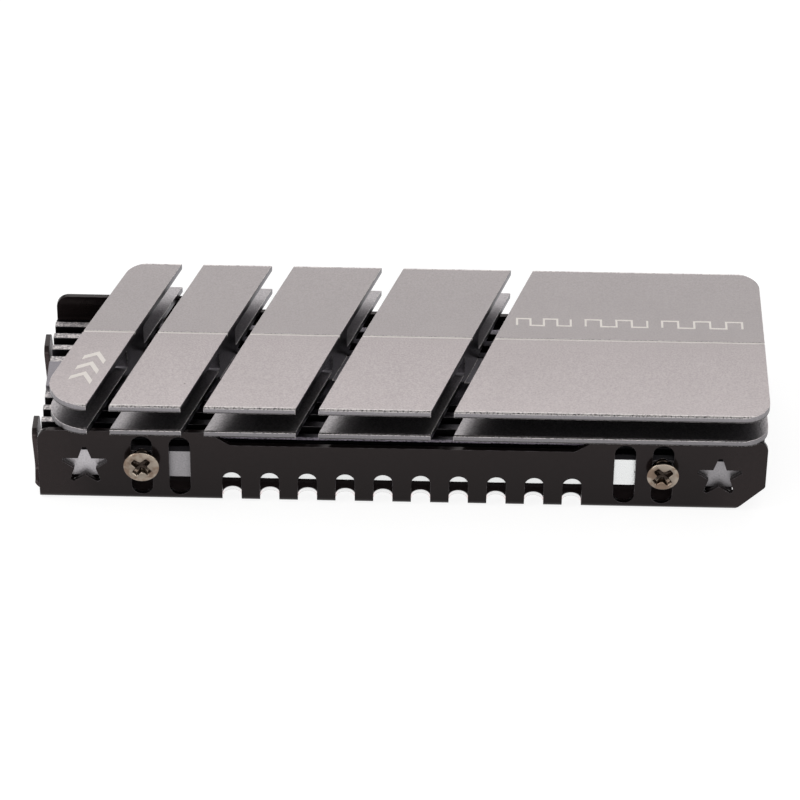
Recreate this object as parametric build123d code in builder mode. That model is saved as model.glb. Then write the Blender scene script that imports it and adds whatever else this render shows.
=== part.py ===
"""Heat sink for a small solid-state drive board.

A milled aluminium fin block sits in a folded sheet tray. Four countersunk screws pass
through upright slots in the tray's walls into the block, so its height can be set.
Millimetres, +Z up, X along the length, origin under the middle of the whole object.
"""
from build123d import *
from math import cos, pi, radians, sin, tan
import os

# Drive board that the tray is made for
board_width = 22.0
board_clearance = 0.1

# Tray sheet
sheet = 0.5
bend_radius = 0.2
tray_length = 72.0
wall_height = 8.5
wall_corner_left = 1.3
wall_corner_right = 1.0
end_chamfer = 3.0
end_corner = 0.5
recess_depth = 1.5
recess_bottom_length = 34.0
recess_slope_run = 2.2
recess_radius = 0.5

# Openings in the tray's walls, as distances from the tray's middle
screw_x = 25.75
vent_slot_x = 22.0
slot_width = 2.1
slot_length = 7.15
slot_z = 4.35
star_x = 31.4
star_z = 4.15
star_radius = 2.3
star_waist = 1.12
star_tip = 0.4

# Comb of rounded notches across both long bends
notch_count = 10
notch_pitch = 3.75
notch_width = 1.9
notch_height = 3.65
notch_reach = 1.9

# Two tabs turned up from the floor at the left end
tab_offset = 6.95
tab_width = 3.4
tab_height = 5.9
tab_bend = 0.8
tab_flare = 1.5
tab_flare_z = 0.9
tab_foot = 0.1
tab_corner = 0.9
tab_lean = 0.3
tab_relief = 0.35
tab_clearance = 0.1

# Fin block, along its section
side_clearance = 0.2
base_bottom = 2.3
base_height = 3.3
base_edge_break = 0.2
rib_height = 0.85
rib_width = 0.8
rib_pitch = 2.0
rib_count = 3
rim_height = 0.4
boss_width = 7.0
web_width = 4.2
web_root_radius = 0.3
plate_width = 24.5
plate_thickness = 0.7
plate_spacing = 2.87
plate_edge_break = 0.12
ridge_height = 0.12
groove_width = 0.3
groove_depth = 0.12
seat_clearance = 0.04

# Fin block, seen from above
block_length = 72.0
slant_angle = 18.0
first_fin = 5.0
fin_growth = 2.0
cut_count = 4
cut_width = 2.14
cut_clearance = 0.34
mill_step = 0.4
plate_corner = 2.6
end_slant = 18.6
end_lead = 0.16
end_tip_corner = 3.75

# Screws
shank_radius = 0.975
head_radius = 1.78
head_height = 0.95
head_rim = 0.12
screw_length = 4.0
screw_z = 4.75
thread_clearance = 0.02
hole_spare = 0.05
tip_chamfer = 0.25
cross_span = 2.0
cross_arm = 0.56
cross_depth = 0.6
cross_taper = 12.0

# Thermal pads
pad_length = 66.0
pad_width = 17.0
pad_thickness = 0.5
pad_corner = 0.6

# Sizes that follow from the ones above
bay_width = board_width + 2 * board_clearance
tray_width = bay_width + 2 * sheet
tab_reach = sheet + tab_clearance
tab_base_width = tab_width + 2 * (tab_flare + tab_foot)
tray_mid = (tab_reach + tab_lean) / 2
tray_left = -tray_length / 2
tray_right = tray_length / 2
base_width = bay_width - 2 * side_clearance
base_top = base_bottom + base_height
rib_top = base_top + rib_height
mill_floor = rib_top + mill_step
lower_plate_bottom = wall_height + seat_clearance
upper_plate_bottom = lower_plate_bottom + plate_spacing
block_top = upper_plate_bottom + plate_thickness
cut_floor = lower_plate_bottom - cut_clearance
cut_along_x = cut_width / cos(radians(slant_angle))
slant_shift = plate_width / 2 * tan(radians(slant_angle))
fins_left = -block_length / 2 + slant_shift
end_middle = fins_left - end_lead
end_shift = plate_width / 2 * tan(radians(end_slant))
first_rib = boss_width / 2 - rib_width / 2 + rib_pitch
rim_width = base_width / 2 - first_rib - (rib_count - 1) * rib_pitch
hole_depth = screw_length - head_height - sheet - side_clearance

# Planes through the tray's middle
section_plane = Plane(origin=(tray_mid, 0, 0), x_dir=(0, 1, 0), z_dir=(1, 0, 0))
side_plane = Plane(origin=(tray_mid, 0, 0), x_dir=(1, 0, 0), z_dir=(0, -1, 0))
floor_plane = Plane(origin=(tray_mid, 0, 0))


def mirrored(distance, height):
    """The two points at a distance to either side of the middle."""
    return (-distance, height), (distance, height)


def side_facing(facing, distance):
    """Upright plane at a distance from the middle, facing the front (-1) or the rear (1)."""
    return Plane(
        origin=(tray_mid, facing * distance, 0),
        x_dir=(-facing, 0, 0),
        z_dir=(0, facing, 0),
    )


def star_points(reach, waist, tip):
    """Corners of a five-pointed star with blunt tips: two to a tip and one to a waist."""
    points = []
    for arm in range(5):
        turn = 2 * pi * arm / 5
        for along, aside in ((reach, -tip / 2), (reach, tip / 2)):
            points.append((
                along * sin(turn) + aside * cos(turn),
                along * cos(turn) - aside * sin(turn),
            ))
        points.append((waist * sin(turn + pi / 5), waist * cos(turn + pi / 5)))
    return points


os.makedirs("parts", exist_ok=True)

# End tab, built at the tray's middle line
with BuildPart() as end_tab:
    tab_root = tray_left - tab_clearance + tab_bend + sheet
    with BuildSketch(side_plane) as tab_fold:
        with BuildLine():
            Polyline(
                (tab_root, 0),
                (tray_left - tab_reach, 0),
                (tray_left - tab_reach - tab_lean, tab_height),
                (tray_left - tab_clearance - tab_lean, tab_height),
                (tray_left - tab_clearance, sheet),
                (tab_root, sheet),
                close=True,
            )
        make_face()
        corners = tab_fold.vertices()
        fillet(corners.sort_by_distance((tray_left - tab_reach, 0))[0], tab_bend + sheet)
        corners = tab_fold.vertices()
        fillet(corners.sort_by_distance((tray_left - tab_clearance, sheet))[0], tab_bend)
    extrude(amount=tab_base_width / 2, both=True)
    with BuildSketch(section_plane) as tab_outline:
        Rectangle(tab_base_width, tab_flare_z, align=(Align.CENTER, Align.MIN))
        Rectangle(tab_width, tab_height, align=(Align.CENTER, Align.MIN))
        flare_row = tab_outline.vertices().group_by(Axis.Y)[1].sort_by(Axis.X)
        fillet(flare_row[1:-1], tab_flare)
        fillet(tab_outline.vertices().group_by(Axis.Y)[-1], tab_corner)
    extrude(amount=-tray_length, mode=Mode.INTERSECT)

# Tray: one sheet folded into a channel
with BuildPart() as tray:
    with BuildSketch(section_plane) as channel:
        Rectangle(tray_width, wall_height, align=(Align.CENTER, Align.MIN))
        fillet(channel.vertices().group_by(Axis.Y)[0], bend_radius + sheet)
    extrude(amount=tray_length / 2, both=True)
    with BuildSketch(section_plane) as bay:
        with Locations((0, sheet)):
            Rectangle(bay_width, wall_height, align=(Align.CENTER, Align.MIN))
        fillet(bay.vertices().group_by(Axis.Y)[0], bend_radius)
    extrude(amount=tray_length / 2, both=True, mode=Mode.SUBTRACT)

    # Side outline: rounded top corners, a long shallow recess and the chamfered right end
    recess_top_length = recess_bottom_length + 2 * recess_slope_run
    with BuildSketch(side_plane) as wall_outline:
        with BuildLine():
            Polyline(
                (tray_left, 0),
                (tray_right - end_chamfer, 0),
                (tray_right, end_chamfer),
                (tray_right, wall_height),
                (recess_top_length / 2, wall_height),
                (recess_bottom_length / 2, wall_height - recess_depth),
                (-recess_bottom_length / 2, wall_height - recess_depth),
                (-recess_top_length / 2, wall_height),
                (tray_left, wall_height),
                close=True,
            )
        make_face()
        rows = wall_outline.vertices().group_by(Axis.Y)
        fillet(rows[-1].sort_by(Axis.X)[1:-1] + rows[-2], recess_radius)
        top_row = wall_outline.vertices().group_by(Axis.Y)[-1].sort_by(Axis.X)
        fillet(top_row[0], wall_corner_left)
        top_row = wall_outline.vertices().group_by(Axis.Y)[-1].sort_by(Axis.X)
        fillet(top_row[-1], wall_corner_right)
        chamfer_row = wall_outline.vertices().group_by(Axis.Y)[1]
        fillet(chamfer_row, end_corner)
    extrude(amount=tray_width, both=True, mode=Mode.INTERSECT)

    # The floor stops where the chamfers of the walls begin
    with BuildSketch(floor_plane):
        with Locations((tray_right, 0)):
            Rectangle(
                end_chamfer,
                bay_width - 2 * bend_radius,
                align=(Align.MAX, Align.CENTER),
            )
    extrude(amount=sheet + bend_radius, mode=Mode.SUBTRACT)

    # Height slots, open slots and star windows through both walls
    with BuildSketch(side_plane):
        with Locations(*mirrored(screw_x, slot_z), *mirrored(vent_slot_x, slot_z)):
            SlotOverall(slot_length, slot_width, rotation=90)
    extrude(amount=tray_width, both=True, mode=Mode.SUBTRACT)
    with BuildSketch(side_plane):
        with Locations(*mirrored(star_x, star_z)):
            Polygon(*star_points(star_radius, star_waist, star_tip), align=None)
    extrude(amount=tray_width, both=True, mode=Mode.SUBTRACT)

    # Comb: each notch runs down a wall, round the bend and into the floor
    for facing in (-1, 1):
        with BuildSketch(side_facing(facing, tray_width / 2)):
            with GridLocations(notch_pitch, 1, notch_count, 1):
                SlotOverall(2 * notch_height, notch_width, rotation=90)
        extrude(amount=-sheet, mode=Mode.SUBTRACT)
    with BuildSketch(floor_plane):
        with GridLocations(notch_pitch, tray_width, notch_count, 2):
            SlotOverall(2 * notch_reach, notch_width, rotation=90)
    extrude(amount=sheet + bend_radius, mode=Mode.SUBTRACT)

    # End tabs, each with a relief gap to either side of its bend
    for tab_y in (-tab_offset, tab_offset):
        with BuildSketch(floor_plane):
            with Locations((tray_left, tab_y)):
                Rectangle(
                    tab_bend - tab_clearance,
                    tab_base_width + 2 * tab_relief,
                    align=(Align.MIN, Align.CENTER),
                )
        extrude(amount=sheet, mode=Mode.SUBTRACT)
        add(end_tab.part.moved(Location((0, tab_y, 0))))

tray.part.label = "tray"
export_step(tray.part, "parts/tray.step")

# Fin block: the extruded web and plates, trimmed to the plates' outline
with BuildPart() as heat_sink:
    with BuildSketch(section_plane) as plates:
        for plate_bottom in (lower_plate_bottom, upper_plate_bottom):
            with Locations((0, plate_bottom)):
                Rectangle(plate_width, plate_thickness, align=(Align.CENTER, Align.MIN))
            chamfer(plates.vertices(Select.LAST).group_by(Axis.Y)[-1], plate_edge_break)
        with Locations((0, rib_top)):
            Rectangle(web_width, upper_plate_bottom - rib_top, align=(Align.CENTER, Align.MIN))
        web_corners = plates.vertices().filter_by_position(Axis.X, -web_width, web_width)
        fillet(web_corners.sort_by(Axis.Y)[2:], web_root_radius)
    extrude(amount=block_length / 2, both=True)

    # The top rises to a faint ridge along the middle, scribed with a fine groove
    with BuildSketch(section_plane):
        with BuildLine():
            Polyline(
                (-plate_width / 2 + plate_edge_break, block_top),
                (-groove_width / 2, block_top + ridge_height),
                (groove_width / 2, block_top + ridge_height),
                (plate_width / 2 - plate_edge_break, block_top),
                close=True,
            )
        make_face()
    extrude(amount=block_length / 2, both=True)
    with BuildSketch(section_plane):
        with BuildLine():
            Polyline(
                (-groove_width / 2, block_top + ridge_height),
                (0, block_top + ridge_height - groove_depth),
                (groove_width / 2, block_top + ridge_height),
                close=True,
            )
        make_face()
    extrude(amount=block_length / 2, both=True, mode=Mode.SUBTRACT)

    # Outline of the plates: slanted left end, all corners rounded, its front tip the most
    with BuildSketch(floor_plane.offset(rib_top)) as outline:
        with BuildLine():
            Polyline(
                (end_middle - end_shift, -plate_width / 2),
                (block_length / 2, -plate_width / 2),
                (block_length / 2, plate_width / 2),
                (end_middle + end_shift, plate_width / 2),
                close=True,
            )
        make_face()
        by_x = outline.vertices().sort_by(Axis.X)
        fillet(by_x[1:], plate_corner)
        fillet(outline.vertices().sort_by(Axis.X)[0], end_tip_corner)
    extrude(amount=2 * block_top, mode=Mode.INTERSECT)

    # Base slab with ribs, and the milled foot of the web
    with BuildSketch(section_plane) as base:
        with Locations((0, base_bottom)):
            Rectangle(base_width, base_height, align=(Align.CENTER, Align.MIN))
            Rectangle(boss_width, rib_top - base_bottom, align=(Align.CENTER, Align.MIN))
            Rectangle(web_width, mill_floor - base_bottom, align=(Align.CENTER, Align.MIN))
        for rib in range(rib_count):
            with Locations(*mirrored(first_rib + rib * rib_pitch, base_top)):
                Rectangle(rib_width, rib_height, align=(Align.CENTER, Align.MIN))
        with Locations(*mirrored(base_width / 2 - rim_width / 2, base_top)):
            Rectangle(rim_width, rim_height, align=(Align.CENTER, Align.MIN))
        corners = base.vertices().sort_by(Axis.X)
        outer_corners = corners[:2] + corners[-2:]
        chamfer(outer_corners.group_by(Axis.Y)[0], base_edge_break)
        chamfer(outer_corners.group_by(Axis.Y)[-1], rim_height)
    extrude(amount=block_length / 2, both=True)

    # Slanted cuts, each fin wider than the one before
    with BuildSketch(floor_plane.offset(cut_floor)):
        for cut in range(cut_count):
            fins_before = (cut + 1) * first_fin + fin_growth * cut * (cut + 1) / 2
            cut_x = fins_left + fins_before + (cut + 0.5) * cut_along_x
            with Locations((cut_x, 0)):
                Rectangle(cut_width, 2 * plate_width, rotation=-slant_angle)
    extrude(amount=2 * block_top, mode=Mode.SUBTRACT)

    # Tapped holes in both sides of the slab
    for facing in (-1, 1):
        with BuildSketch(side_facing(facing, base_width / 2)):
            with Locations(*mirrored(screw_x, screw_z)):
                Circle(shank_radius + thread_clearance)
        extrude(amount=-(hole_depth + hole_spare), mode=Mode.SUBTRACT)

heat_sink.part.label = "heat_sink"
export_step(heat_sink.part, "parts/heat_sink.step")


def build_screw(name, x, facing):
    """One countersunk screw with a cross recess, its head on the wall that it faces."""
    wall_face = side_facing(facing, tray_width / 2).moved(Location((-facing * x, screw_z, 0)))
    with BuildPart() as screw:
        with BuildSketch(wall_face):
            Circle(shank_radius)
        extrude(amount=-(screw_length - head_height))
        outward = Axis(wall_face.origin, wall_face.z_dir)
        chamfer(screw.edges().sort_by(outward)[0], tip_chamfer)
        with BuildSketch(wall_face):
            Circle(shank_radius)
        with BuildSketch(wall_face.offset(head_height - head_rim)):
            Circle(head_radius)
        loft()
        with BuildSketch(wall_face.offset(head_height - head_rim)):
            Circle(head_radius)
        extrude(amount=head_rim)
        with BuildSketch(wall_face.offset(head_height)) as cross:
            with Locations(Rotation(0, 0, 45)):
                Rectangle(cross_span, cross_arm)
                Rectangle(cross_arm, cross_span)
        extrude(amount=-cross_depth, taper=cross_taper, mode=Mode.SUBTRACT)
    screw.part.label = name
    export_step(screw.part, f"parts/{name}.step")


for row, facing in (("front", -1), ("rear", 1)):
    for end, x in (("left", -screw_x), ("right", screw_x)):
        build_screw(f"screw_{row}_{end}", x, facing)

# Thermal pads: one under the slab, one on the floor
with BuildPart() as upper_pad:
    with BuildSketch(floor_plane.offset(base_bottom - pad_thickness)):
        RectangleRounded(pad_length, pad_width, pad_corner)
    extrude(amount=pad_thickness)
upper_pad.part.label = "upper_pad"
export_step(upper_pad.part, "parts/upper_pad.step")

with BuildPart() as lower_pad:
    with BuildSketch(floor_plane.offset(sheet)):
        RectangleRounded(pad_length, pad_width, pad_corner)
    extrude(amount=pad_thickness)
lower_pad.part.label = "lower_pad"
export_step(lower_pad.part, "parts/lower_pad.step")
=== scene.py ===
"""Looks of a drive heat sink: blasted aluminium fins in a black folded tray, four nickel screws.

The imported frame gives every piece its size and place. The pieces here are its finished surfaces.
All lengths are in metres, in the frame's own axes: X along the tray, Z up, the photo side at -Y.
"""
import logging
from dataclasses import dataclass
from enum import Enum
from functools import reduce
from math import cos, radians, sin

import bmesh
import bpy
import numpy as np
from bpy.types import Material, Mesh, Node, NodeSocket, NodeTree, Object
from mathutils import Matrix, Vector


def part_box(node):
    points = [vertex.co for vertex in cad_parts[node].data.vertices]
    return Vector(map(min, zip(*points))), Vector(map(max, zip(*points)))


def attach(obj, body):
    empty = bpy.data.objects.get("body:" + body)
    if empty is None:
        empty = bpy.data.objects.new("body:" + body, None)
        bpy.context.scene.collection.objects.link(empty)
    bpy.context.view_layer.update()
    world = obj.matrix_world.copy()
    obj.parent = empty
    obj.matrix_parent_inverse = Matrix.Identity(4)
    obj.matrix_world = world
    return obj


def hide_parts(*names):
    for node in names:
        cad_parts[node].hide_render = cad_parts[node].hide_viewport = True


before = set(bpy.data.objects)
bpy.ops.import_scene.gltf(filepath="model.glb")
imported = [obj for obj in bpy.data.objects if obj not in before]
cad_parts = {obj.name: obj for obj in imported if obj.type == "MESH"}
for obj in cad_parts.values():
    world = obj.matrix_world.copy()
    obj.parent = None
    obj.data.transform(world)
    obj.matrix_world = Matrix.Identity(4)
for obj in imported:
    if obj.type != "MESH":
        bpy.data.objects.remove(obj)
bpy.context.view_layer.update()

MM = 0.001
TINY = 1e-6
Colour = tuple[float, ...]
log = logging.getLogger("heat_sink")


class Body(Enum):
    """The two bodies of the frame: the tray stands still and the fin block slides up in it."""

    TRAY = "tray"
    FINS = "fin_block"


class Slot(Enum):
    """Material slots of the record."""

    ALUMINIUM = "blasted_aluminium"
    SHEET = "black_sheet"
    NICKEL = "screw_nickel"
    PAD = "thermal_pad"


class Edge(Enum):
    """Names of the mesh attributes that the finishes read."""

    BREAK = "edge_break"
    # How much painted shade falls on each ring of a screw.
    RECESS = "recess"


def mm(*lengths: float) -> tuple[float, ...]:
    """Lengths in millimetres as metres."""
    return tuple(length * MM for length in lengths)


class Graph:
    """A short way to place and join the nodes of one shader tree."""

    def __init__(self, tree: NodeTree) -> None:
        """Keeps the node tree of a material or of a node group."""
        self.tree = tree

    def node(self, kind: str, **settings: object) -> Node:
        """Places a node and sets its properties.

        Args:
            kind: the node's type name after "ShaderNode".
            settings: properties of the node.

        Returns:
            The new node.
        """
        made = self.tree.nodes.new(f"ShaderNode{kind}")
        for key, value in settings.items():
            setattr(made, key, value)
        return made

    def feed(self, socket: NodeSocket, value: object) -> None:
        """Links a socket to another one, or sets its own value.

        Args:
            socket: the input socket.
            value: an output socket, a number or a colour.
        """
        if isinstance(value, NodeSocket):
            self.tree.links.new(value, socket)
        else:
            socket.default_value = value

    def maths(self, operation: str, *operands: object, clamp: bool = False) -> NodeSocket:
        """One arithmetic step.

        Args:
            operation: the Math node's operation.
            operands: sockets or numbers.
            clamp: whether the result stays between 0 and 1.

        Returns:
            The result's socket.
        """
        made = self.node("Math", operation=operation, use_clamp=clamp)
        for socket, value in zip(made.inputs, operands):
            self.feed(socket, value)
        return made.outputs[0]

    def ramp(self, value: object, low: float, high: float, smooth: bool = True) -> NodeSocket:
        """Turns a value into a mask: 0 at low and 1 at high, which may be the smaller number."""
        made = self.node("MapRange", interpolation_type="SMOOTHSTEP" if smooth else "LINEAR")
        return self.fill(made, Value=value, From_Min=low, From_Max=high).outputs["Result"]

    def within(self, value: object, low: float, high: float, soft: float) -> NodeSocket:
        """Turns a value into a mask: 1 between low and high, with a border of a soft width."""
        return self.product(self.ramp(value, low - soft, low), self.ramp(value, high + soft, high))

    def blend(self, mask: object, under: object, over: object) -> NodeSocket:
        """Mixes two colours by a mask.

        Args:
            mask: 0 gives under and 1 gives over.
            under: a colour or its socket.
            over: a colour or its socket.

        Returns:
            The mixed colour's socket.
        """
        made = self.node("Mix", data_type="RGBA")
        self.feed(made.inputs[0], mask)
        self.feed(made.inputs[6], under)
        self.feed(made.inputs[7], over)
        return made.outputs[2]

    def shade(self, colour: object, factor: object) -> NodeSocket:
        """Multiplies a colour by a number. Both may be sockets."""
        vector = colour[:3] if isinstance(colour, tuple) else colour
        return self.fill(self.node("VectorMath", operation="SCALE"), Vector=vector, Scale=factor).outputs[0]

    def parts(self, vector: NodeSocket) -> tuple[NodeSocket, ...]:
        """Splits a vector into the sockets of its x, y and z."""
        return tuple(self.fill(self.node("SeparateXYZ"), Vector=vector).outputs)

    def fill(self, node: Node, **values: object) -> Node:
        """Feeds a node's inputs.

        Args:
            node: the node.
            values: what each input gets, with _ for each space in a name.

        Returns:
            The same node.
        """
        for key, value in values.items():
            self.feed(node.inputs[key.replace("_", " ")], value)
        return node

    def product(self, *factors: object) -> NodeSocket:
        """Multiplies masks or numbers."""
        return reduce(lambda one, other: self.maths("MULTIPLY", one, other), factors)

    def add(self, value: object, *steps: tuple[object, float]) -> NodeSocket:
        """Adds masks to a value. Each step is a mask and the amount that it adds where it is 1."""
        return reduce(lambda total, step: self.maths("MULTIPLY_ADD", *step, total), steps, value)

    def change(self, colour: object, mask: object, by: float) -> NodeSocket:
        """Makes a colour paler by a share where a mask is 1, or darker by a share below 0."""
        return self.shade(colour, self.add(1.0, (mask, by)))

    def layers(self, colour: object, *coats: tuple[object, object]) -> NodeSocket:
        """Lays coats over a colour, the lowest first. Each coat is a mask and a colour."""
        return reduce(lambda under, coat: self.blend(coat[0], under, coat[1]), coats, colour)


class Effects:
    """Shader effects that several finishes share, each one a node group that is built once."""

    def __init__(self) -> None:
        """Builds the groups."""
        self.grain = self._grain()
        self.specks = self._specks()
        self.edge_wear_and_shine = self._edge_wear_and_shine()

    @staticmethod
    def _group(name: str, inputs: dict[str, float], outputs: tuple[str, ...]) -> tuple[Graph, dict, dict]:
        """Makes an empty group with a vector input and number sockets.

        Args:
            name: the group's name.
            inputs: number inputs with their usual values.
            outputs: number outputs.

        Returns:
            The group's graph, its input sockets by name and its output sockets by name.
        """
        tree = bpy.data.node_groups.new(name, "ShaderNodeTree")
        tree.interface.new_socket("Vector", in_out="INPUT", socket_type="NodeSocketVector")
        for key, value in inputs.items():
            socket = tree.interface.new_socket(key, in_out="INPUT", socket_type="NodeSocketFloat")
            socket.default_value = value
        for key in outputs:
            tree.interface.new_socket(key, in_out="OUTPUT", socket_type="NodeSocketFloat")
        graph = Graph(tree)
        entry = tree.nodes.new("NodeGroupInput")
        exit_node = tree.nodes.new("NodeGroupOutput")
        return graph, dict(entry.outputs.items()), dict(exit_node.inputs.items())

    def _grain(self) -> NodeTree:
        """Fine grain of a blasted, cast or sprayed surface: a shade about 1 and a height.

        Returns:
            The node group.
        """
        graph, given, result = self._group(
            "fine_grain", {"Cell": 0.15 * MM, "Contrast": 0.1}, ("Shade", "Height")
        )
        fine, scale = graph.node("TexNoise"), graph.maths("DIVIDE", 1.0, given["Cell"])
        graph.fill(fine, Vector=given["Vector"], Scale=scale, Detail=2.0, Roughness=0.6)
        centred = graph.maths("SUBTRACT", fine.outputs["Fac"], 0.5)
        graph.feed(result["Shade"], graph.add(1.0, (centred, given["Contrast"])))
        graph.feed(result["Height"], fine.outputs["Fac"])
        return graph.tree

    def _specks(self) -> NodeTree:
        """Rare small specks of uneven size: a mask.

        Returns:
            The node group.
        """
        graph, given, result = self._group(
            "specks", {"Spacing": 3.0 * MM, "Width": 0.1 * MM, "Share": 0.3}, ("Mask",)
        )
        cells, scale = graph.node("TexVoronoi"), graph.maths("DIVIDE", 1.0, given["Spacing"])
        graph.fill(cells, Vector=given["Vector"], Scale=scale)
        draw = graph.parts(cells.outputs["Color"])[0]
        chosen = graph.maths("LESS_THAN", draw, given["Share"])
        reach = graph.product(cells.outputs["Distance"], given["Spacing"])
        inside = graph.maths("SUBTRACT", 1.0, graph.maths("DIVIDE", reach, given["Width"]), clamp=True)
        solid = graph.ramp(inside, low=0.0, high=0.6)
        graph.feed(result["Mask"], graph.product(solid, chosen))
        return graph.tree

    def _edge_wear_and_shine(self) -> NodeTree:
        """A broken mask along the edges, for painted shine and for rubbed coating: it comes and goes where
        Edge is 1.

        Returns:
            The node group.
        """
        graph, given, result = self._group(
            "edge_wear_and_shine", {"Edge": 0.0, "Cell": 0.2 * MM, "Low": 0.4, "High": 0.6}, ("Mask",)
        )
        noise, scale = graph.node("TexNoise"), graph.maths("DIVIDE", 1.0, given["Cell"])
        graph.fill(noise, Vector=given["Vector"], Scale=scale, Detail=1.0)
        span = graph.maths("SUBTRACT", given["High"], given["Low"])
        over = graph.maths("SUBTRACT", noise.outputs["Fac"], given["Low"])
        broken = graph.maths("DIVIDE", over, span, clamp=True)
        graph.feed(result["Mask"], graph.product(broken, given["Edge"]))
        return graph.tree


class Surface(Graph):
    """The node tree of a new material, and where each point of the object lies and faces.

    The measures along and aside are x and y without sign, facing_x and facing_z are parts of the
    normal, and sideways and level are those parts without sign.
    """

    def __init__(self, name: str) -> None:
        """Starts the material with a Principled BSDF.

        Args:
            name: the material's name.
        """
        self.made = bpy.data.materials.new(name)
        self.made.use_nodes = True
        super().__init__(self.made.node_tree)
        coordinates = self.node("TexCoord")
        self.spot = coordinates.outputs["Object"]
        self.x, self.y, self.z = self.parts(self.spot)
        self.facing_x, _, self.facing_z = self.parts(coordinates.outputs["Normal"])
        self.along, self.aside, self.sideways, self.level = (
            self.maths("ABSOLUTE", part) for part in (self.x, self.y, self.facing_x, self.facing_z)
        )

    def where(self, **measures: tuple[float, ...]) -> NodeSocket:
        """Mask of the points whose measures all lie where they should.

        Args:
            measures: for each measure two numbers, from where its mask is 0 to where it is 1, or
                three: its mask is 1 between the first two, and the third is its border's width.

        Returns:
            The mask's socket, the product of the measures' own masks.
        """
        return self.product(*(
            (self.ramp if len(span) == 2 else self.within)(getattr(self, name), *span)
            for name, span in measures.items()
        ))

    def effect(self, group: NodeTree, **values: object) -> Node:
        """Places a shared effect at the object's own points, with this material's own values."""
        return self.fill(self.node("Group", node_tree=group), Vector=self.spot, **values)

    def mark(self, name: Edge) -> NodeSocket:
        """Reads a mesh attribute."""
        return self.node("Attribute", attribute_name=name.value).outputs["Fac"]

    def relief(self, height: NodeSocket, depth: float) -> NodeSocket:
        """Turns a height from 0 to 1 into the normals of a relief of that depth."""
        return self.fill(self.node("Bump"), Distance=depth, Height=height).outputs["Normal"]

    def dress(self, **values: object) -> Material:
        """Feeds the Principled BSDF's inputs and gives the material."""
        self.fill(self.tree.nodes["Principled BSDF"], **values)
        return self.made


class BlockMasks:
    """Masks of the kinds of surface on the fin block."""

    def __init__(self, graph: Surface) -> None:
        """Places the nodes of every mask. The named lengths here are in millimetres.

        Args:
            graph: the graph of the block's material.
        """
        slab_top, rib_top, top_half = 5.6, 6.45, 12.1
        plate_bottoms = (8.54, 11.41)
        flat, upward, slanted = (0.4, 0.9), (0.5, 0.9), (0.5, 0.86, 0.08)
        self.above = graph.where(z=mm(11.85, 11.95))
        self.top = graph.product(graph.where(level=flat), self.above)
        # Hidden faces inside the block, on the web and on the fins' cut ends, take painted shade.
        web = graph.where(aside=mm(3.2, 3.0), sideways=(0.99, 0.96))
        cut = graph.where(facing_x=(0.5, 0.8), x=mm(33.0, 32.5))
        within_block = graph.maths("MAXIMUM", graph.maths("MAXIMUM", graph.where(level=flat), web), cut)
        self.hidden = graph.product(within_block, graph.maths("SUBTRACT", 1.0, self.above))
        # Tops of the lower plates, under the upper ones: a darker colour as painted shade.
        self.shelf = graph.where(facing_z=upward, z=mm(9.14, 9.24, 0.03))
        # Rib tops at the open left end: painted light, pale and mottled.
        self.rib_ends = graph.where(
            facing_z=upward, z=mm(rib_top - 0.1, rib_top, 0.05), x=mm(-31.5, -32.5)
        )
        # Pits between the ribs: painted shade, nearly black.
        self.pit_shade = graph.where(
            z=mm(slab_top, rib_top - 0.08, 0.03), sideways=(0.8, 0.5), aside=mm(10.6, 10.4)
        )
        # The outermost ribs' top edges: painted glint.
        self.outer_rib = graph.where(
            aside=mm(9.3, 9.55, 0.04), z=mm(rib_top - 0.15, rib_top + 0.05, 0.05), x=mm(-19.5, 19.5, 0.2)
        )
        self.land = graph.where(
            x=mm(-20.0, 24.5, 0.4), aside=mm(10.5, 10.6), z=mm(slab_top + 0.1, slab_top)
        )
        # The slab's rim chamfer: painted shade, nearly black.
        self.rim = graph.where(level=slanted, z=mm(slab_top, rib_top, 0.02))
        # The plates' chamfers: painted shade, broken by paler dashes of painted glint.
        self.chamfer = graph.where(level=slanted, aside=mm(top_half, top_half + 0.04))
        # The plates' edges, and a thin band on the tops along their front and rear edges: painted
        # highlight.
        on_plates = graph.maths("SUBTRACT", graph.where(z=mm(7.0, 7.2)), self.chamfer, clamp=True)
        border = graph.product(self.top, graph.where(aside=mm(top_half - 0.14, top_half - 0.1)))
        self.lip = graph.maths("MAXIMUM", graph.product(graph.mark(Edge.BREAK), on_plates), border)
        self.beside_groove = graph.product(graph.where(aside=mm(0.3, 0.15)), self.above)
        # The groove: painted bright, as a glint.
        self.groove = graph.product(graph.where(aside=mm(0.125, 0.0875)), self.above)
        # The front half and the ramp towards the front edge carry the tops' painted sheen.
        self.front_half = graph.where(y=mm(0.0, -0.02))
        self.front_grain = graph.where(y=mm(0.0, -1.0))
        self.front_sheen_ramp = graph.ramp(graph.y, *mm(0.0, -12.25), smooth=False)
        self.left_flank = graph.where(x=mm(-25.0, -29.0))
        self.plates = graph.where(z=mm(rib_top, plate_bottoms[0]))
        # Painted shade on the faces between the plates' bottoms, and a painted shadow along each plate's
        # underside.
        self.gap = graph.where(z=mm(*plate_bottoms, 0.5))
        shadows = (graph.where(z=mm(low - 0.1, low + 0.1, 0.05)) for low in plate_bottoms)
        self.shadow = graph.maths("MAXIMUM", *shadows)


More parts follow.
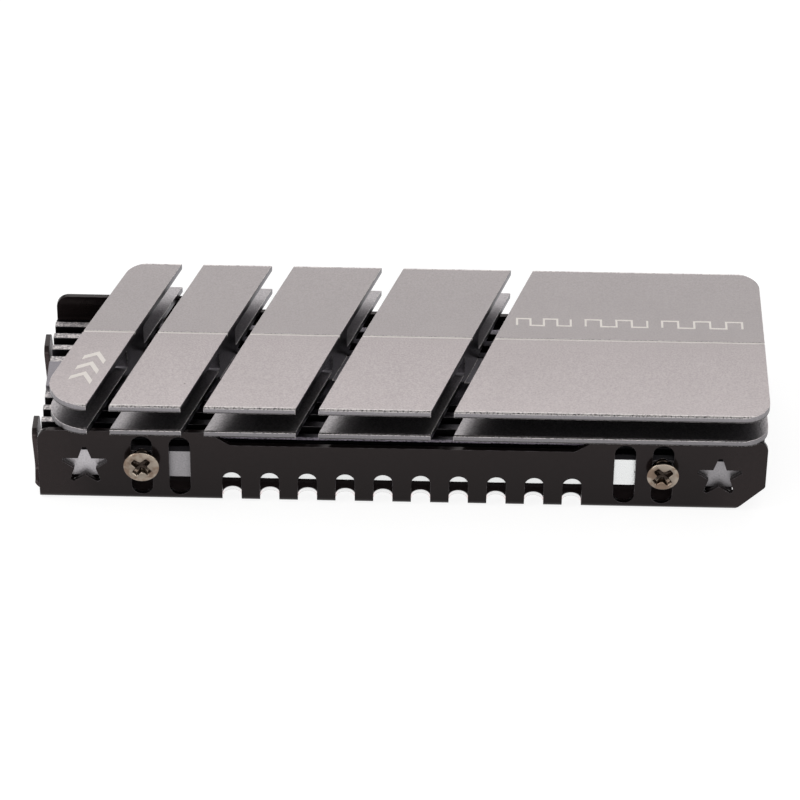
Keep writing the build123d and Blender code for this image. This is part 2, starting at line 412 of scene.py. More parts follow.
@dataclass(frozen=True)
class BlastedAluminium:
    """Blasted and anodised aluminium: satin on top, smooth inside, bright where cut.

    The tops carry a painted sheen, paler in front of the groove and towards the front edge.
    Inside, painted shade darkens the hidden faces, less on the lower plates' tops, and is nearly
    black in the pits between the ribs and on the slab's rim; the rib tops at the open left end are
    painted light. The groove is a scribed line painted bright as a glint. The milled chamfers are
    painted dark as shade, with paler dashes of painted glint. Broken painted highlights run along
    the plates' edges and the outermost ribs. The slab's flanks are paler at the left end and have
    a bright milled land between the height slots, which mirrors the floor.
    """

    effects: Effects
    # The tops' two halves: the front one is paler, as painted sheen.
    rear: Colour = (0.351, 0.327, 0.329, 1.0)
    front: Colour = (0.391, 0.358, 0.361, 1.0)
    face: Colour = (0.255, 0.243, 0.255, 1.0)
    flank: Colour = (0.29, 0.279, 0.29, 1.0)
    # Paler dashes of painted glint on the chamfers.
    dash: Colour = (0.2, 0.19, 0.195, 1.0)
    # The lower plates' tops, darker as painted shade.
    shelf: Colour = (0.29, 0.277, 0.285, 1.0)
    # Painted shade on the hidden faces inside the block.
    inner: Colour = (0.155, 0.148, 0.162, 1.0)
    # Painted shade, nearly black, for the pits between the ribs and the slab's rim.
    pit_shade: Colour = (0.02, 0.019, 0.021, 1.0)
    land: Colour = (0.79, 0.8, 0.8, 1.0)
    # The groove, painted bright as a glint.
    line: Colour = (0.75, 0.71, 0.69, 1.0)
    # Painted light on the rib tops at the open left end, and painted highlight along the plates' edges.
    bright: Colour = (0.62, 0.59, 0.58, 1.0)
    # Real specks, and painted shade on the plates' chamfers.
    dark: Colour = (0.06, 0.055, 0.055, 1.0)
    # Painted glint on the outermost ribs.
    shine: Colour = (0.42, 0.38, 0.46, 1.0)
    # Painted sheen: the tops' shade at the middle, and how much paler they grow towards the front edge.
    painted_sheen_at_middle: float = 0.95
    painted_front_sheen: float = 0.14
    satin: float = 0.48
    smooth: float = 0.3
    shelf_rough: float = 0.36
    coarse: float = 0.55
    land_polish: float = -0.2
    grain_rough: float = 0.12
    grain_depth: float = 0.025 * MM
    rear_contrast: float = 0.5
    front_contrast: float = 0.25
    shelf_contrast: float = 0.5

    def tops(self, graph: Surface, on: BlockMasks) -> NodeSocket:
        """Colour of the plates' tops with a painted sheen: paler in front of the groove and towards the
        front edge.
        """
        halves = graph.blend(on.front_half, self.rear, self.front)
        return graph.shade(halves, graph.add(self.painted_sheen_at_middle, (on.front_sheen_ramp, self.painted_front_sheen)))

    def sides(self, graph: Surface, on: BlockMasks) -> NodeSocket:
        """Colour of the upright faces, with painted shade between the plates' bottoms and a painted shadow
        along the underside of each plate.
        """
        side = graph.blend(on.plates, graph.change(self.flank, on.left_flank, by=0.65), self.face)
        return graph.change(graph.change(side, on.gap, by=-0.2), on.shadow, by=-0.9)

    def material(self) -> Material:
        """Builds the finish.

        Returns:
            The material.
        """
        graph = Surface("blasted_aluminium")
        on = BlockMasks(graph)
        grained, sparse, wear_and_shine = self.effects.grain, self.effects.specks, self.effects.edge_wear_and_shine
        contrast = graph.add(
            self.rear_contrast, (on.front_grain, self.front_contrast), (on.shelf, self.shelf_contrast)
        )
        grain = graph.effect(grained, Cell=0.17 * MM, Contrast=contrast)
        cloud = graph.effect(grained, Cell=5 * MM, Contrast=0.08)
        specks = graph.effect(sparse, Spacing=5.5 * MM, Width=0.16 * MM, Share=0.2)
        mottle = graph.effect(wear_and_shine, Edge=on.rib_ends, Cell=0.22 * MM, Low=0.62, High=0.38)
        dashes = graph.effect(wear_and_shine, Edge=on.chamfer, Cell=0.17 * MM, Low=0.52, High=0.68)
        wear_and_glint = graph.effect(wear_and_shine, Edge=on.lip, Cell=0.2 * MM, Low=0.35, High=0.55)
        glint = graph.effect(wear_and_shine, Edge=on.outer_rib, Cell=0.22 * MM, Low=0.2, High=0.55)
        # Painted shade inside the block, lighter on the lower plates' tops and nearly black in the pits;
        # painted light on the rib tops at the open left end.
        colour = graph.layers(
            graph.blend(on.top, self.sides(graph, on), self.tops(graph, on)),
            (on.hidden, self.inner),
            (on.shelf, self.shelf),
            (on.pit_shade, self.pit_shade),
            (on.rib_ends, self.bright),
            (mottle.outputs["Mask"], self.face),
        )
        colour = graph.shade(graph.shade(colour, grain.outputs["Shade"]), cloud.outputs["Shade"])
        colour = graph.layers(
            colour,
            (specks.outputs["Mask"], self.dark),
            (on.land, self.land),
            (on.rim, self.pit_shade),
            (on.chamfer, self.dark),
            (dashes.outputs["Mask"], self.dash),
            (wear_and_glint.outputs["Mask"], self.bright),
            (glint.outputs["Mask"], self.shine),
        )
        colour = graph.change(colour, on.beside_groove, by=-0.08)
        # The groove and the outermost ribs are not metal, so their painted glints show in their own colour.
        dull = graph.maths("MAXIMUM", on.groove, glint.outputs["Mask"])
        return graph.dress(
            Base_Color=graph.blend(on.groove, colour, self.line),
            Metallic=graph.maths("SUBTRACT", 1.0, dull),
            Roughness=graph.add(
                self.satin - self.grain_rough / 2,
                (on.hidden, self.smooth - self.satin),
                (grain.outputs["Height"], self.grain_rough),
                (on.shelf, self.shelf_rough - self.smooth),
                (on.rib_ends, self.coarse - self.smooth),
                (on.land, self.land_polish),
            ),
            Normal=graph.relief(grain.outputs["Height"], self.grain_depth),
        )


@dataclass(frozen=True)
class EtchedMark:
    """Laser-etched aluminium: paler and duller than the blasted face round it."""

    effects: Effects
    tone: Colour = (0.76, 0.725, 0.69, 1.0)
    rough: float = 0.55
    grain_rough: float = 0.2

    def material(self) -> Material:
        """Builds the finish.

        Returns:
            The material.
        """
        graph = Surface("etched_mark")
        grain = graph.effect(self.effects.grain, Cell=0.1 * MM, Contrast=0.25)
        return graph.dress(
            Base_Color=graph.shade(self.tone, grain.outputs["Shade"]),
            Metallic=0.35,
            Roughness=graph.add(self.rough, (grain.outputs["Height"], self.grain_rough)),
        )


@dataclass(frozen=True)
class BlackCoating:
    """Thin satin black coating on folded sheet, rubbed paler along the cut edges, where painted highlight
    also runs.

    Painted shade darkens the walls towards the floor, less at their ends, and painted light makes the
    coating paler inside the tray. The cut edges of the comb's notches are bare in the floor.
    """

    effects: Effects
    coat: Colour = (0.0085, 0.0062, 0.0062, 1.0)
    tint: Colour = (1.0, 0.87, 0.87, 1.0)
    # Paler grey along the cut edges: partly rubbed coating, partly painted highlight.
    wear_and_glint: Colour = (0.14, 0.13, 0.14, 1.0)
    dust: Colour = (0.16, 0.15, 0.14, 1.0)
    bare: Colour = (0.9, 0.9, 0.9, 1.0)
    # Painted shade at the walls' foot, lifting up the walls, and painted light inside the tray.
    painted_foot_shade: float = 0.12
    painted_shade_lift: float = 0.7
    painted_inside_light: float = 4.0
    gloss: float = 0.21
    sheen: float = 0.14
    peel_rough: float = 0.08
    peel_depth: float = 0.002 * MM

    def tone(self, graph: Surface) -> NodeSocket:
        """Painted shade and light on the coating: painted shade at the walls' foot, lifting up the walls
        and to their ends, and painted light inside, palest of all.

        Args:
            graph: the material's graph.

        Returns:
            The factor's socket.
        """
        height = graph.ramp(graph.z, *mm(0.5, 8.0), smooth=False)
        ends = graph.where(along=mm(28.0, 34.0))
        above_floor = graph.where(z=mm(0.45, 0.49))
        inside = graph.product(graph.where(aside=mm(11.2, 11.12), z=mm(6.5, 5.0)), above_floor)
        outside = graph.maths("MAXIMUM", graph.add(self.painted_foot_shade, (height, self.painted_shade_lift)), ends)
        return graph.maths("MAXIMUM", outside, graph.product(inside, self.painted_inside_light))

    @staticmethod
    def bare_edges(graph: Surface) -> NodeSocket:
        """Mask of the notches' bare cut edges in the floor.

        Args:
            graph: the material's graph.

        Returns:
            The mask's socket.
        """
        wall = graph.where(level=(0.3, 0.1), z=mm(0.52, 0.5))
        foot = graph.where(level=(0.99, 0.93), z=mm(0.1, 0.06))
        comb = graph.where(x=mm(-19.0, 19.0, 0.1), aside=mm(11.2, 11.0))
        return graph.product(comb, graph.maths("MAXIMUM", wall, foot))

    def material(self) -> Material:
        """Builds the finish.

        Returns:
            The material.
        """
        graph = Surface("black_sheet")
        edge, bare = graph.mark(Edge.BREAK), self.bare_edges(graph)
        peel = graph.effect(self.effects.grain, Cell=0.5 * MM, Contrast=0.6)
        wear_and_glint = graph.effect(self.effects.edge_wear_and_shine, Edge=edge, Cell=0.9 * MM, Low=0.35, High=0.7)
        dust = graph.effect(self.effects.specks, Spacing=2.6 * MM, Width=0.09 * MM, Share=0.12)
        # The coat takes the painted shade and light of tone().
        colour = graph.layers(
            graph.shade(graph.shade(self.coat, peel.outputs["Shade"]), self.tone(graph)),
            (wear_and_glint.outputs["Mask"], self.wear_and_glint),
            (dust.outputs["Mask"], self.dust),
            (bare, self.bare),
        )
        return graph.dress(
            Base_Color=colour,
            Metallic=bare,
            Roughness=graph.add(self.sheen, (peel.outputs["Height"], self.peel_rough)),
            Specular_IOR_Level=self.gloss,
            Specular_Tint=self.tint,
            Normal=graph.relief(peel.outputs["Height"], self.peel_depth),
        )


@dataclass(frozen=True)
class WarmNickel:
    """Nickel plating with a brownish tint, with painted shade down in the cross recess, round its lip and
    on the shank.
    """

    effects: Effects
    plate: Colour = (0.315, 0.268, 0.222, 1.0)
    tarnish: Colour = (0.2, 0.145, 0.11, 1.0)
    painted_recess_shade: Colour = (0.035, 0.027, 0.022, 1.0)
    rough: float = 0.11
    stain_rough: float = 0.14

    def material(self) -> Material:
        """Builds the finish.

        Returns:
            The material.
        """
        graph = Surface("screw_nickel")
        stain = graph.effect(self.effects.grain, Cell=0.7 * MM, Contrast=0.5)
        patches = graph.effect(self.effects.grain, Cell=1.3 * MM, Contrast=0.0)
        tarnished = graph.ramp(patches.outputs["Height"], low=0.42, high=0.6)
        colour = graph.shade(graph.blend(tarnished, self.plate, self.tarnish), stain.outputs["Shade"])
        return graph.dress(
            # Painted shade in the cross recess, round it and on the shank.
            Base_Color=graph.blend(graph.mark(Edge.RECESS), colour, self.painted_recess_shade),
            Metallic=1.0,
            Roughness=graph.add(self.rough, (stain.outputs["Height"], self.stain_rough)),
        )


@dataclass(frozen=True)
class PadSilicone:
    """Soft grey silicone filled with ceramic grains."""

    effects: Effects
    tone: Colour = (0.3, 0.32, 0.35, 1.0)
    grain_depth: float = 0.01 * MM

    def material(self) -> Material:
        """Builds the finish.

        Returns:
            The material.
        """
        graph = Surface("thermal_pad")
        grain = graph.effect(self.effects.grain, Cell=0.25 * MM, Contrast=0.3)
        return graph.dress(
            Base_Color=graph.shade(self.tone, grain.outputs["Shade"]),
            Roughness=0.7,
            Normal=graph.relief(grain.outputs["Height"], self.grain_depth),
        )


def place(name: str, mesh: Mesh, finish: Material) -> Object:
    """Puts a finished mesh into the scene, its object at the origin.

    Args:
        name: the piece's name.
        mesh: its mesh, in the frame's own coordinates.
        finish: its material.

    Returns:
        The piece.
    """
    mesh.materials.append(finish)
    piece = bpy.data.objects.new(name, mesh)
    bpy.context.scene.collection.objects.link(piece)
    return piece


def full_turn(count: int) -> np.ndarray:
    """That many angles, evenly round the axis, in radians."""
    return np.linspace(0, 2 * np.pi, count, endpoint=False)


def ring_surface(name: str, rings: np.ndarray, first: np.ndarray, last: np.ndarray) -> Mesh:
    """A closed surface: rings of equal length joined by quads, with a point at each end.

    Quad (i, j) joins points j and j + 1 of ring i to those of ring i + 1, and j wraps round.

    Args:
        name: the mesh's name.
        rings: an array of rings by points by 3.
        first: the point that closes the first ring.
        last: the point that closes the last ring.

    Returns:
        The mesh. Its faces point outwards when the rings turn anticlockwise, as seen from first.
    """
    count, around, _ = rings.shape
    points = np.concatenate([rings.reshape(-1, 3), first[None], last[None]])
    i, j = np.meshgrid(np.arange(count - 1), np.arange(around), indexing="ij")
    here = i * around + j
    beside = i * around + (j + 1) % around
    quads = np.stack([here, here + around, beside + around, beside], axis=-1).reshape(-1, 4)
    turn = np.arange(around)
    start = np.stack([np.full(around, count * around), turn, (turn + 1) % around], axis=-1)
    tail = (count - 1) * around
    end = np.stack([np.full(around, count * around + 1), tail + (turn + 1) % around, tail + turn], axis=-1)
    mesh = bpy.data.meshes.new(name)
    mesh.from_pydata(points.tolist(), [], [*quads.tolist(), *start.tolist(), *end.tolist()])
    mesh.validate()
    mesh.update()
    return mesh


def smooth_but(mesh: Mesh, sharp_from: float) -> None:
    """Shades a mesh smooth and keeps the edges that turn by more than an angle in degrees."""
    mesh.shade_smooth()
    mesh.set_sharp_from_angle(angle=radians(sharp_from))


@dataclass(kw_only=True)
class Piece:
    """A finished surface that takes the place of a CAD node and rides on its body."""

    node: str
    name: str = ""
    body: Body
    slot: Slot
    finish: Material

    def mesh(self) -> Mesh:
        """The finished mesh, which each kind of piece works out in its own way."""
        raise NotImplementedError

    def build(self) -> Object:
        """Builds the mesh and dresses it.

        Returns:
            The piece, which replaces the CAD node.
        """
        piece = place(self.name or f"{self.node}_finished", self.mesh(), self.finish)
        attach(piece, self.body.value)
        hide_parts(self.node)
        return piece


@dataclass(kw_only=True)
class SoftenedCopy(Piece):
    """The finished surface of a CAD node: its own form with every hard edge broken."""

    edge_break: float
    rounds: int = 2
    weld: float = 0.0005 * MM
    flat_within: float = 0.3
    hard_from: float = 35.0
    round_up_to: float = 50.0
    flat_weight: int = 95

    def mesh(self) -> Mesh:
        """Joins the node's loose triangles, clears its flat faces and breaks its hard edges.

        Returns:
            The new mesh, with the attribute edge_break 1 on the faces along the edges.
        """
        work = bmesh.new()
        work.from_mesh(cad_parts[self.node].data)
        mark = work.faces.layers.float.new(Edge.BREAK.value)
        bmesh.ops.remove_doubles(work, verts=work.verts, dist=self.weld)
        bmesh.ops.dissolve_limit(
            work, angle_limit=radians(self.flat_within), verts=work.verts, edges=work.edges
        )
        hard = [
            e for e in work.edges
            if len(e.link_faces) == 2 and e.calc_face_angle() > radians(self.hard_from)
        ]
        broken = bmesh.ops.bevel(
            work,
            geom=hard,
            offset=self.edge_break,
            offset_type="OFFSET",
            segments=self.rounds,
            profile=0.5,
            affect="EDGES",
            clamp_overlap=True,
        )
        for face in broken["faces"]:
            face[mark] = 1.0
        made = bpy.data.meshes.new(self.name)
        work.to_mesh(made)
        work.free()
        self.keep_inside(made)
        smooth_but(made, self.round_up_to)
        return made

    def keep_inside(self, mesh: Mesh) -> None:
        """Brings points that rounding has put outside the node's box back onto it.

        Args:
            mesh: the finished mesh.
        """
        points = np.empty(len(mesh.vertices) * 3)
        mesh.vertices.foreach_get("co", points)
        low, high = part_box(self.node)
        kept = np.clip(points.reshape(-1, 3), np.array(low), np.array(high))
        mesh.vertices.foreach_set("co", kept.ravel())
        mesh.update()

    def build(self) -> Object:
        """Builds the piece, its large faces with their own normals and its edges shaded round.

        Returns:
            The piece, which replaces the CAD node.
        """
        piece = super().build()
        weighted = piece.modifiers.new("flat_faces_lead", "WEIGHTED_NORMAL")
        weighted.mode = "FACE_AREA"
        weighted.weight = self.flat_weight
        weighted.keep_sharp = True
        return piece


@dataclass(kw_only=True)
class FoldedTray(SoftenedCopy):
    """The black sheet tray with its comb, slots, star windows and end tabs."""

    node: str = "tray"
    name: str = "folded_tray"
    body: Body = Body.TRAY
    slot: Slot = Slot.SHEET
    edge_break: float = 0.045 * MM


@dataclass(kw_only=True)
class FinBlock(SoftenedCopy):
    """The milled aluminium block: two plates cut into five fins, on a ribbed slab."""

    node: str = "heat_sink"
    name: str = "milled_fin_block"
    body: Body = Body.FINS
    slot: Slot = Slot.ALUMINIUM
    edge_break: float = 0.04 * MM


@dataclass(kw_only=True)
class Screw(Piece):
    """A small countersunk screw with a stamped cross recess and a fine thread."""

    body: Body = Body.FINS
    slot: Slot = Slot.NICKEL
    facing: int
    turn: float
    head_radius: float = 1.78 * MM
    around: int = 144
    head_height: float = 0.95 * MM
    arm_reach: float = 1.08 * MM
    arm_half_width: float = 0.33 * MM
    arm_corner: float = 8.0
    cross_corner: float = 2.8
    recess_depth: float = 0.62 * MM
    recess_taper: float = 0.34
    taper_power: float = 1.3
    floor_shares: tuple[float, ...] = (0.15, 0.35, 0.55, 0.62)
    floor_falls: tuple[float, ...] = (1.0, 0.97, 0.9, 0.82)
    wall_falls: tuple[float, ...] = (0.7, 0.45, 0.25, 0.15)
    # How much painted shade the recess walls, the lip rings and the face rings take; the recess floor and
    # the shank take it fully.
    wall_shade: float = 0.6
    lip_steps: tuple[float, ...] = (0.02 * MM, 0.05 * MM, 0.09 * MM, 0.13 * MM)
    lip_falls: tuple[float, ...] = (0.06 * MM, 0.035 * MM, 0.012 * MM, 0.0)
    lip_shades: tuple[float, ...] = (0.3, 0.1, 0.15, 0.3)
    face_shares: tuple[float, ...] = (0.4, 0.8, 1.0)
    face_shades: tuple[float, ...] = (0.15, 0.0, 0.0)
    dome: float = 0.05 * MM
    rim: float = 0.2 * MM
    rim_from: float = 0.15
    rim_steps: int = 6
    shank_radius: float = 0.97 * MM
    core_radius: float = 0.8 * MM
    pitch: float = 0.4 * MM
    rows_per_pitch: int = 12
    ridge_power: float = 1.4
    tip: float = 0.25 * MM
    tip_shares: tuple[float, float] = (0.9, 0.76)
    sharp_from: float = 50.0

    def recess_outline(self, angle: np.ndarray) -> np.ndarray:
        """Radius of the cross recess at each angle.

        Each bar's outline is at the nearer of its end and its side. The cross is their soft
        maximum, (a^p + b^p)^(1/p), which rounds the inner corners.

        Args:
            angle: angles about the axis, in radians.

        Returns:
            The outline's radius at each angle.
        """
        own, power = angle - radians(45 + self.turn), self.cross_corner
        return (self.bar(own) ** power + self.bar(own + np.pi / 2) ** power) ** (1 / power)

    def bar(self, angle: np.ndarray) -> np.ndarray:
        """Radius of one bar of the cross: a soft minimum of its end and its side.

        Args:
            angle: angles from the bar's own direction, in radians.

        Returns:
            The bar's radius at each angle.
        """
        end = self.arm_reach / np.maximum(np.abs(np.cos(angle)), TINY)
        side = self.arm_half_width / np.maximum(np.abs(np.sin(angle)), TINY)
        return (end ** -self.arm_corner + side ** -self.arm_corner) ** (-1 / self.arm_corner)

    def head(self, angle: np.ndarray) -> tuple[np.ndarray, ...]:
        """Rings of the head, from the middle of the recess to the rim.

        The recess narrows from its outline towards the floor, by a power of the depth. Round it
        is a lip, then a face that falls by the square of the way to the rim, a quarter round.

        Args:
            angle: angles about the axis, in radians.

        Returns:
            Radii (rings by angles), heights (rings) and each ring's painted shade (rings).
        """
        outline = self.recess_outline(angle)
        falls, face = np.array(self.wall_falls), np.array(self.face_shares)
        lips = outline + np.array(self.lip_steps)[:, None]
        flat_edge = self.head_radius - self.rim
        turns = np.linspace(self.rim_from, 1.0, self.rim_steps) * np.pi / 2
        radii = np.concatenate([
            np.outer(self.floor_shares, outline),
            np.outer(1 - self.recess_taper * falls ** self.taper_power, outline),
            lips,
            lips[-1] + face[:, None] * (flat_edge - lips[-1]),
            np.outer(flat_edge + self.rim * np.sin(turns), np.ones(self.around)),
        ])
        drops = np.concatenate([
            self.recess_depth * np.array(self.floor_falls),
            self.recess_depth * falls,
            self.lip_falls,
            self.dome * face ** 2,
            self.dome + (self.rim - self.dome) * (1 - np.cos(turns)),
        ])
        shades = np.concatenate([
            np.ones(len(self.floor_shares)),
            np.full(len(falls), self.wall_shade),
            self.lip_shades,
            self.face_shades,
            np.zeros(self.rim_steps),
        ])
        return radii, self.head_height - drops, shades

    def shank(self, angle: np.ndarray) -> tuple[np.ndarray, ...]:
        """Rings of the threaded shank, from under the head to the tip.

        The radius is the core's plus a rounded wave of height / pitch less angle / full turn.

        Args:
            angle: angles about the axis, in radians.

        Returns:
            Radii (rings by angles), heights (rings) and each ring's painted shade (rings).
        """
        low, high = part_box(self.node)
        length = (high.y - low.y) - self.head_height
        rows = int(np.ceil((length - self.tip) / self.pitch * self.rows_per_pitch))
        heights = np.linspace(0, -(length - self.tip), rows)
        wave = heights[:, None] / self.pitch - angle / (2 * np.pi)
        ridge = 0.5 + 0.5 * np.cos(2 * np.pi * wave)
        fade = np.clip(-heights / self.pitch, 0, 1)[:, None]
        thread = (self.shank_radius - self.core_radius) * (1 - ridge ** self.ridge_power) * fade
        tip = np.outer(self.tip_shares, np.full(self.around, self.core_radius))
        heights = np.concatenate([heights, [0.5 * self.tip - length, -length]])
        return np.concatenate([self.shank_radius - thread, tip]), heights, np.ones(len(heights))

    def mesh(self) -> Mesh:
        """Turns the rings about the screw's axis, its head on the wall that it faces.

        Returns:
            The mesh, with the attribute recess holding each ring's painted shade.
        """
        low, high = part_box(self.node)
        wall = (high.y if self.facing > 0 else low.y) - self.facing * self.head_height
        centre = np.array([(low.x + high.x) / 2, wall, (low.z + high.z) / 2])
        across = np.array([-self.facing, 0, 0])
        outward = np.array([0, self.facing, 0])
        upward = np.array([0, 0, 1.0])
        angle = full_turn(self.around)
        radii, heights, shades = map(np.concatenate, zip(self.head(angle), self.shank(angle)))
        rings = (
            centre
            + radii[..., None] * (np.cos(angle)[:, None] * across + np.sin(angle)[:, None] * upward)
            + heights[:, None, None] * outward
        )
        first = centre + (self.head_height - self.recess_depth) * outward
        last = centre + heights[-1] * outward
        mesh = ring_surface(self.node, rings, first, last)
        mask = mesh.attributes.new(Edge.RECESS.value, "FLOAT", "POINT")
        values = np.concatenate([np.repeat(shades, self.around), [1.0, 0.0]])
        mask.data.foreach_set("value", values.astype(np.float32))
        smooth_but(mesh, self.sharp_from)
        return mesh


@dataclass(kw_only=True)
class ThermalPad(Piece):
    """A soft silicone pad with rounded edges and slightly sunken faces."""

    slot: Slot = Slot.PAD
    around: int = 240
    squareness: float = 14.0
    edge_steps: int = 9
    inner_shares: tuple[float, ...] = (0.3, 0.7, 0.92)
    dip: float = 0.03 * MM
    dip_shares: tuple[float, ...] = (1.0, 0.8, 0.3)
    sharp_from: float = 40.0

    def mesh(self) -> Mesh:
        """Works out the pad inside its CAD solid.

        The outline is a superellipse, |x|^p + |y|^p = 1. A ring's share of it shrinks from 1 at
        mid height to 0 at the middle, and its height follows the edge's half round.

        Returns:
            The mesh.
        """
        low, high = (np.array(corner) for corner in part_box(self.node))
        centre, half = (low + high) / 2, (high - low) / 2
        angle = full_turn(self.around)
        power = 2 / self.squareness
        x, y = (np.sign(part) * np.abs(part) ** power for part in (np.cos(angle), np.sin(angle)))
        turn = np.linspace(-90, 90, self.edge_steps) * np.pi / 180
        inner, sunk = np.array(self.inner_shares), self.dip * np.array(self.dip_shares)
        flat = np.full(len(inner), half[2])
        inset = np.concatenate([flat, half[2] * (1 - np.cos(turn)), flat])
        share = np.concatenate([inner, np.ones(self.edge_steps), inner[::-1]])
        level = np.concatenate([sunk - half[2], half[2] * np.sin(turn), half[2] - sunk[::-1]])
        rings = np.stack([
            centre[0] + share[:, None] * (half[0] - inset[:, None]) * x,
            centre[1] + share[:, None] * (half[1] - inset[:, None]) * y,
            np.broadcast_to((centre[2] + level)[:, None], (len(level), self.around)),
        ], axis=-1)
        first = np.array([centre[0], centre[1], low[2] + self.dip])
        last = np.array([centre[0], centre[1], high[2] - self.dip])
        mesh = ring_surface(self.node, rings[::-1], last, first)
        smooth_but(mesh, self.sharp_from)
        return mesh


@dataclass
class EtchedMarks:
    """Plain laser-etched signs on the upper plates: a row of square waves and a run of arrows."""

    finish: Material
    crown: float = 0.12 * MM
    groove_half: float = 0.15 * MM
    film: float = 0.008 * MM
    root: float = 0.02 * MM
    stroke: float = 0.21 * MM
    slant: float = 18.0
    row_left: float = 11.7 * MM
    row_low: float = 2.4 * MM
    row_high: float = 3.55 * MM
    groups: tuple[tuple[int, float], ...] = ((4, 5.4 * MM), (4, 6.2 * MM), (5, 8.05 * MM))
    group_gap: float = 1.5 * MM
    chevron_band: float = 0.672 * MM
    chevron_spot: tuple[float, float] = (-30.4 * MM, -5.05 * MM)
    chevron_shifts: tuple[float, ...] = (-1.75 * MM, 0.0, 1.75 * MM)
    chevron_arm: float = 1.15 * MM

    def wave_row(self) -> list[np.ndarray]:
        """A row of square waves, one to a group, each with its number of halves and its length.

        Returns:
            The waves' outlines.
        """
        outlines, left = [], self.row_left
        for halves, length in self.groups:
            outlines.append(self.square_wave(left, length / halves, halves))
            left += length + self.group_gap
        return outlines

    def square_wave(self, left: float, step: float, halves: int) -> np.ndarray:
        """Outline of a square wave: its middle line, moved half a stroke to either side.

        At every corner a point moves by half a stroke along both of the strokes' own sides, so
        that each of them keeps its width.

        Args:
            left: where the wave begins.
            step: the length of half a wave.
            halves: how many halves the wave has.

        Returns:
            The outline's points, anticlockwise.
        """
        corner = np.arange(2 * halves + 2)
        x = left + (corner // 2) * step
        y = np.where((corner + 1) // 2 % 2, self.row_high, self.row_low)
        line = np.stack([x, y], axis=-1)
        runs = np.diff(line, axis=0)
        runs /= np.linalg.norm(runs, axis=1)[:, None]
        sides = np.stack([-runs[:, 1], runs[:, 0]], axis=-1)
        shift = np.concatenate([sides[:1], sides[1:] + sides[:-1], sides[-1:]]) * self.stroke / 2
        return np.concatenate([line - shift, (line + shift)[::-1]])

    def chevrons(self) -> list[np.ndarray]:
        """Arrowheads in a file along the first fin, each a bent band between two parallel angles.

        Returns:
            The arrowheads' outlines, anticlockwise.
        """
        turn, arm, band = radians(90 - self.slant), self.chevron_arm, self.chevron_band
        along, across = (cos(turn), sin(turn)), (-sin(turn), cos(turn))
        steps = [(0, 0), (-arm, arm), (-arm - band, arm), (-band, 0), (-arm - band, -arm), (-arm, -arm)]
        sign = np.array(steps) @ np.array([along, across]) + self.chevron_spot
        return [sign + np.array(along) * shift for shift in self.chevron_shifts]

    def surface(self, y: np.ndarray) -> np.ndarray:
        """Height of the plates' top at each y: highest at the groove, falling to both sides."""
        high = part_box("heat_sink")[1]
        return high.z - self.crown * (np.abs(y) - self.groove_half) / (high.y - self.groove_half)

    def build(self, outlines: list[np.ndarray], name: str) -> Object:
        """Raises the outlines a hair above the plates and dresses them.

        Args:
            outlines: closed outlines in the plane.
            name: the piece's name.

        Returns:
            The piece.
        """
        points, faces = [], []
        for outline in outlines:
            count, start = len(outline), len(points)
            top = self.surface(outline[:, 1])
            points += np.column_stack([outline, top + self.film]).tolist()
            points += np.column_stack([outline, top - self.root]).tolist()
            turn = np.arange(count)
            after = (turn + 1) % count
            faces.append((start + turn).tolist())
            faces.append((start + count + turn[::-1]).tolist())
            side = np.stack([turn, turn + count, after + count, after], axis=-1) + start
            faces += side.tolist()
        mesh = bpy.data.meshes.new(name)
        mesh.from_pydata(points, [], faces)
        mesh.update()
        piece = place(name, mesh, self.finish)
        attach(piece, Body.FINS.value)
        return piece


@dataclass(frozen=True)
class PhotoCamera:
    """The camera that sees the object as the photo does."""

    azimuth: float = 0.517
    elevation: float = 36.802
    roll: float = 0.769
    distance: float = 406.755 * MM
    aim: tuple[float, float, float] = (0.034 * MM, 2.072 * MM, 2.775 * MM)
    lens: float = 179.66
    sensor: float = 36.0

    def build(self) -> Object:
        """Places the camera and makes it the scene's own.

        Returns:
            The camera.
        """
        turn, tilt = radians(self.azimuth), radians(self.elevation)
        forward = Vector((-sin(turn) * cos(tilt), cos(turn) * cos(tilt), -sin(tilt)))
        right = forward.cross(Vector((0, 0, 1))).normalized()
        up = right.cross(forward)
        lean = Matrix.Rotation(radians(-self.roll), 3, forward)
        right, up = lean @ right, lean @ up
        data = bpy.data.cameras.new("photo_camera")
        data.lens = self.lens
        data.sensor_width = self.sensor
        data.clip_start, data.clip_end = 0.01, 20.0
        camera = bpy.data.objects.new("photo_camera", data)
        spot = Vector(self.aim) - forward * self.distance
        turned = Matrix((right, up, -forward)).transposed()
        camera.matrix_world = Matrix.Translation(spot) @ turned.to_4x4()
        bpy.context.scene.collection.objects.link(camera)
        bpy.context.scene.camera = camera
        return camera


@dataclass(frozen=True)
class Softbox:
    """A soft studio light: a glowing rectangle that faces the object."""

    name: str
    spot: tuple[float, float, float]
    width: float
    height: float
    radiance: float
    tint: tuple[float, float, float] = (1.0, 0.985, 0.975)

    def build(self) -> Object:
        """Hangs the light. Its power is its radiance times its area times pi.

        Returns:
            The light.
        """
        data = bpy.data.lights.new(self.name, "AREA")
        data.shape = "RECTANGLE"
        data.size, data.size_y = self.width, self.height
        data.energy = self.radiance * self.width * self.height * np.pi
        data.color = self.tint
        light = bpy.data.objects.new(self.name, data)
        light.location = self.spot
        light.rotation_euler = (-Vector(self.spot)).to_track_quat("-Z", "Y").to_euler()
        bpy.context.scene.collection.objects.link(light)
        return light


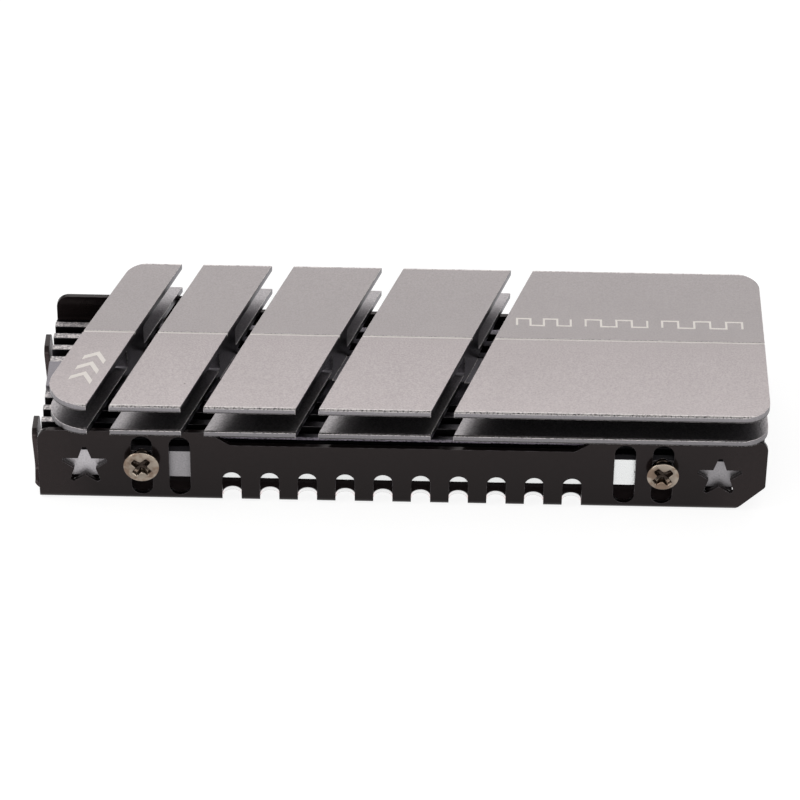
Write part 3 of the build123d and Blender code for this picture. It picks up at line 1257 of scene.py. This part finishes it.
@dataclass(frozen=True)
class Studio:
    """A plain pale floor, lit from below like a product table, under soft light."""

    floor_half: float = 1.5
    floor_gap: float = 0.01 * MM
    floor_tone: Colour = (0.3, 0.3, 0.3, 1.0)
    floor_glow: float = 0.82
    floor_mottle: float = 0.01
    air: float = 0.35
    boxes: tuple[Softbox, ...] = (
        Softbox("back_light", (0.0, 0.9, 0.75), 1.3, 0.7, 1.7),
        Softbox("left_light", (-0.9, -0.1, 0.75), 0.7, 0.6, 3.0),
        Softbox("front_light", (0.0, -1.15, 0.5), 1.5, 0.4, 2.6),
        Softbox("low_left_light", (-0.95, -0.85, 0.4), 0.9, 0.55, 1.9),
        Softbox("low_right_light", (0.95, -0.85, 0.4), 0.9, 0.55, 1.9),
    )

    def build(self) -> None:
        """Lays the floor, hangs the lights and fills the air with a pale even light."""
        graph = Surface("studio_floor")
        paper = graph.node("TexNoise")
        graph.fill(paper, Vector=graph.spot, Scale=90.0)
        mottle = graph.add(1 - self.floor_mottle / 2, (paper.outputs["Fac"], self.floor_mottle))
        below = graph.node("NewGeometry").outputs["Backfacing"]
        made = graph.dress(
            Base_Color=graph.shade(self.floor_tone, mottle),
            Roughness=0.9,
            Specular_IOR_Level=0.1,
            Emission_Color=(1.0, 1.0, 1.0, 1.0),
            Emission_Strength=self.floor_glow,
            Alpha=graph.maths("SUBTRACT", 1.0, below),
        )
        half = self.floor_half
        low = -self.floor_gap
        corners = [(-half, -half, low), (half, -half, low), (half, half, low), (-half, half, low)]
        mesh = bpy.data.meshes.new("studio_floor")
        mesh.from_pydata(corners, [], [(0, 1, 2, 3)])
        place("studio_floor", mesh, made)
        for box in self.boxes:
            box.build()
        world = bpy.data.worlds.new("studio_air")
        world.use_nodes = True
        air = Graph(world.node_tree)
        air.fill(world.node_tree.nodes["Background"], Color=(1.0, 1.0, 1.0, 1.0), Strength=self.air)
        bpy.context.scene.world = world
        bpy.context.scene.view_settings.view_transform = "Standard"


def main() -> None:
    """Builds the studio and every piece of the object, and reports each one."""
    logging.basicConfig(level=logging.INFO)
    PhotoCamera().build()
    Studio().build()
    effects = Effects()
    pieces = [
        FoldedTray(finish=BlackCoating(effects).material()).build(),
        FinBlock(finish=BlastedAluminium(effects).material()).build(),
    ]
    nickel = WarmNickel(effects).material()
    screws = (
        Screw(node="screw_front_left", facing=-1, turn=6.0, finish=nickel),
        Screw(node="screw_front_right", facing=-1, turn=-5.5, head_radius=1.6 * MM, finish=nickel),
        Screw(node="screw_rear_left", facing=1, turn=30.0, finish=nickel),
        Screw(node="screw_rear_right", facing=1, turn=-24.0, finish=nickel),
    )
    pieces += [screw.build() for screw in screws]
    marks = EtchedMarks(EtchedMark(effects).material())
    pieces.append(marks.build(marks.wave_row(), "etched_waves"))
    pieces.append(marks.build(marks.chevrons(), "etched_chevrons"))
    silicone = PadSilicone(effects).material()
    pieces.append(ThermalPad(node="upper_pad", body=Body.FINS, finish=silicone).build())
    pieces.append(ThermalPad(node="lower_pad", body=Body.TRAY, finish=silicone).build())
    for piece in pieces:
        log.info("%s: %d faces", piece.name, len(piece.data.polygons))


if __name__ == "__main__":
    main()
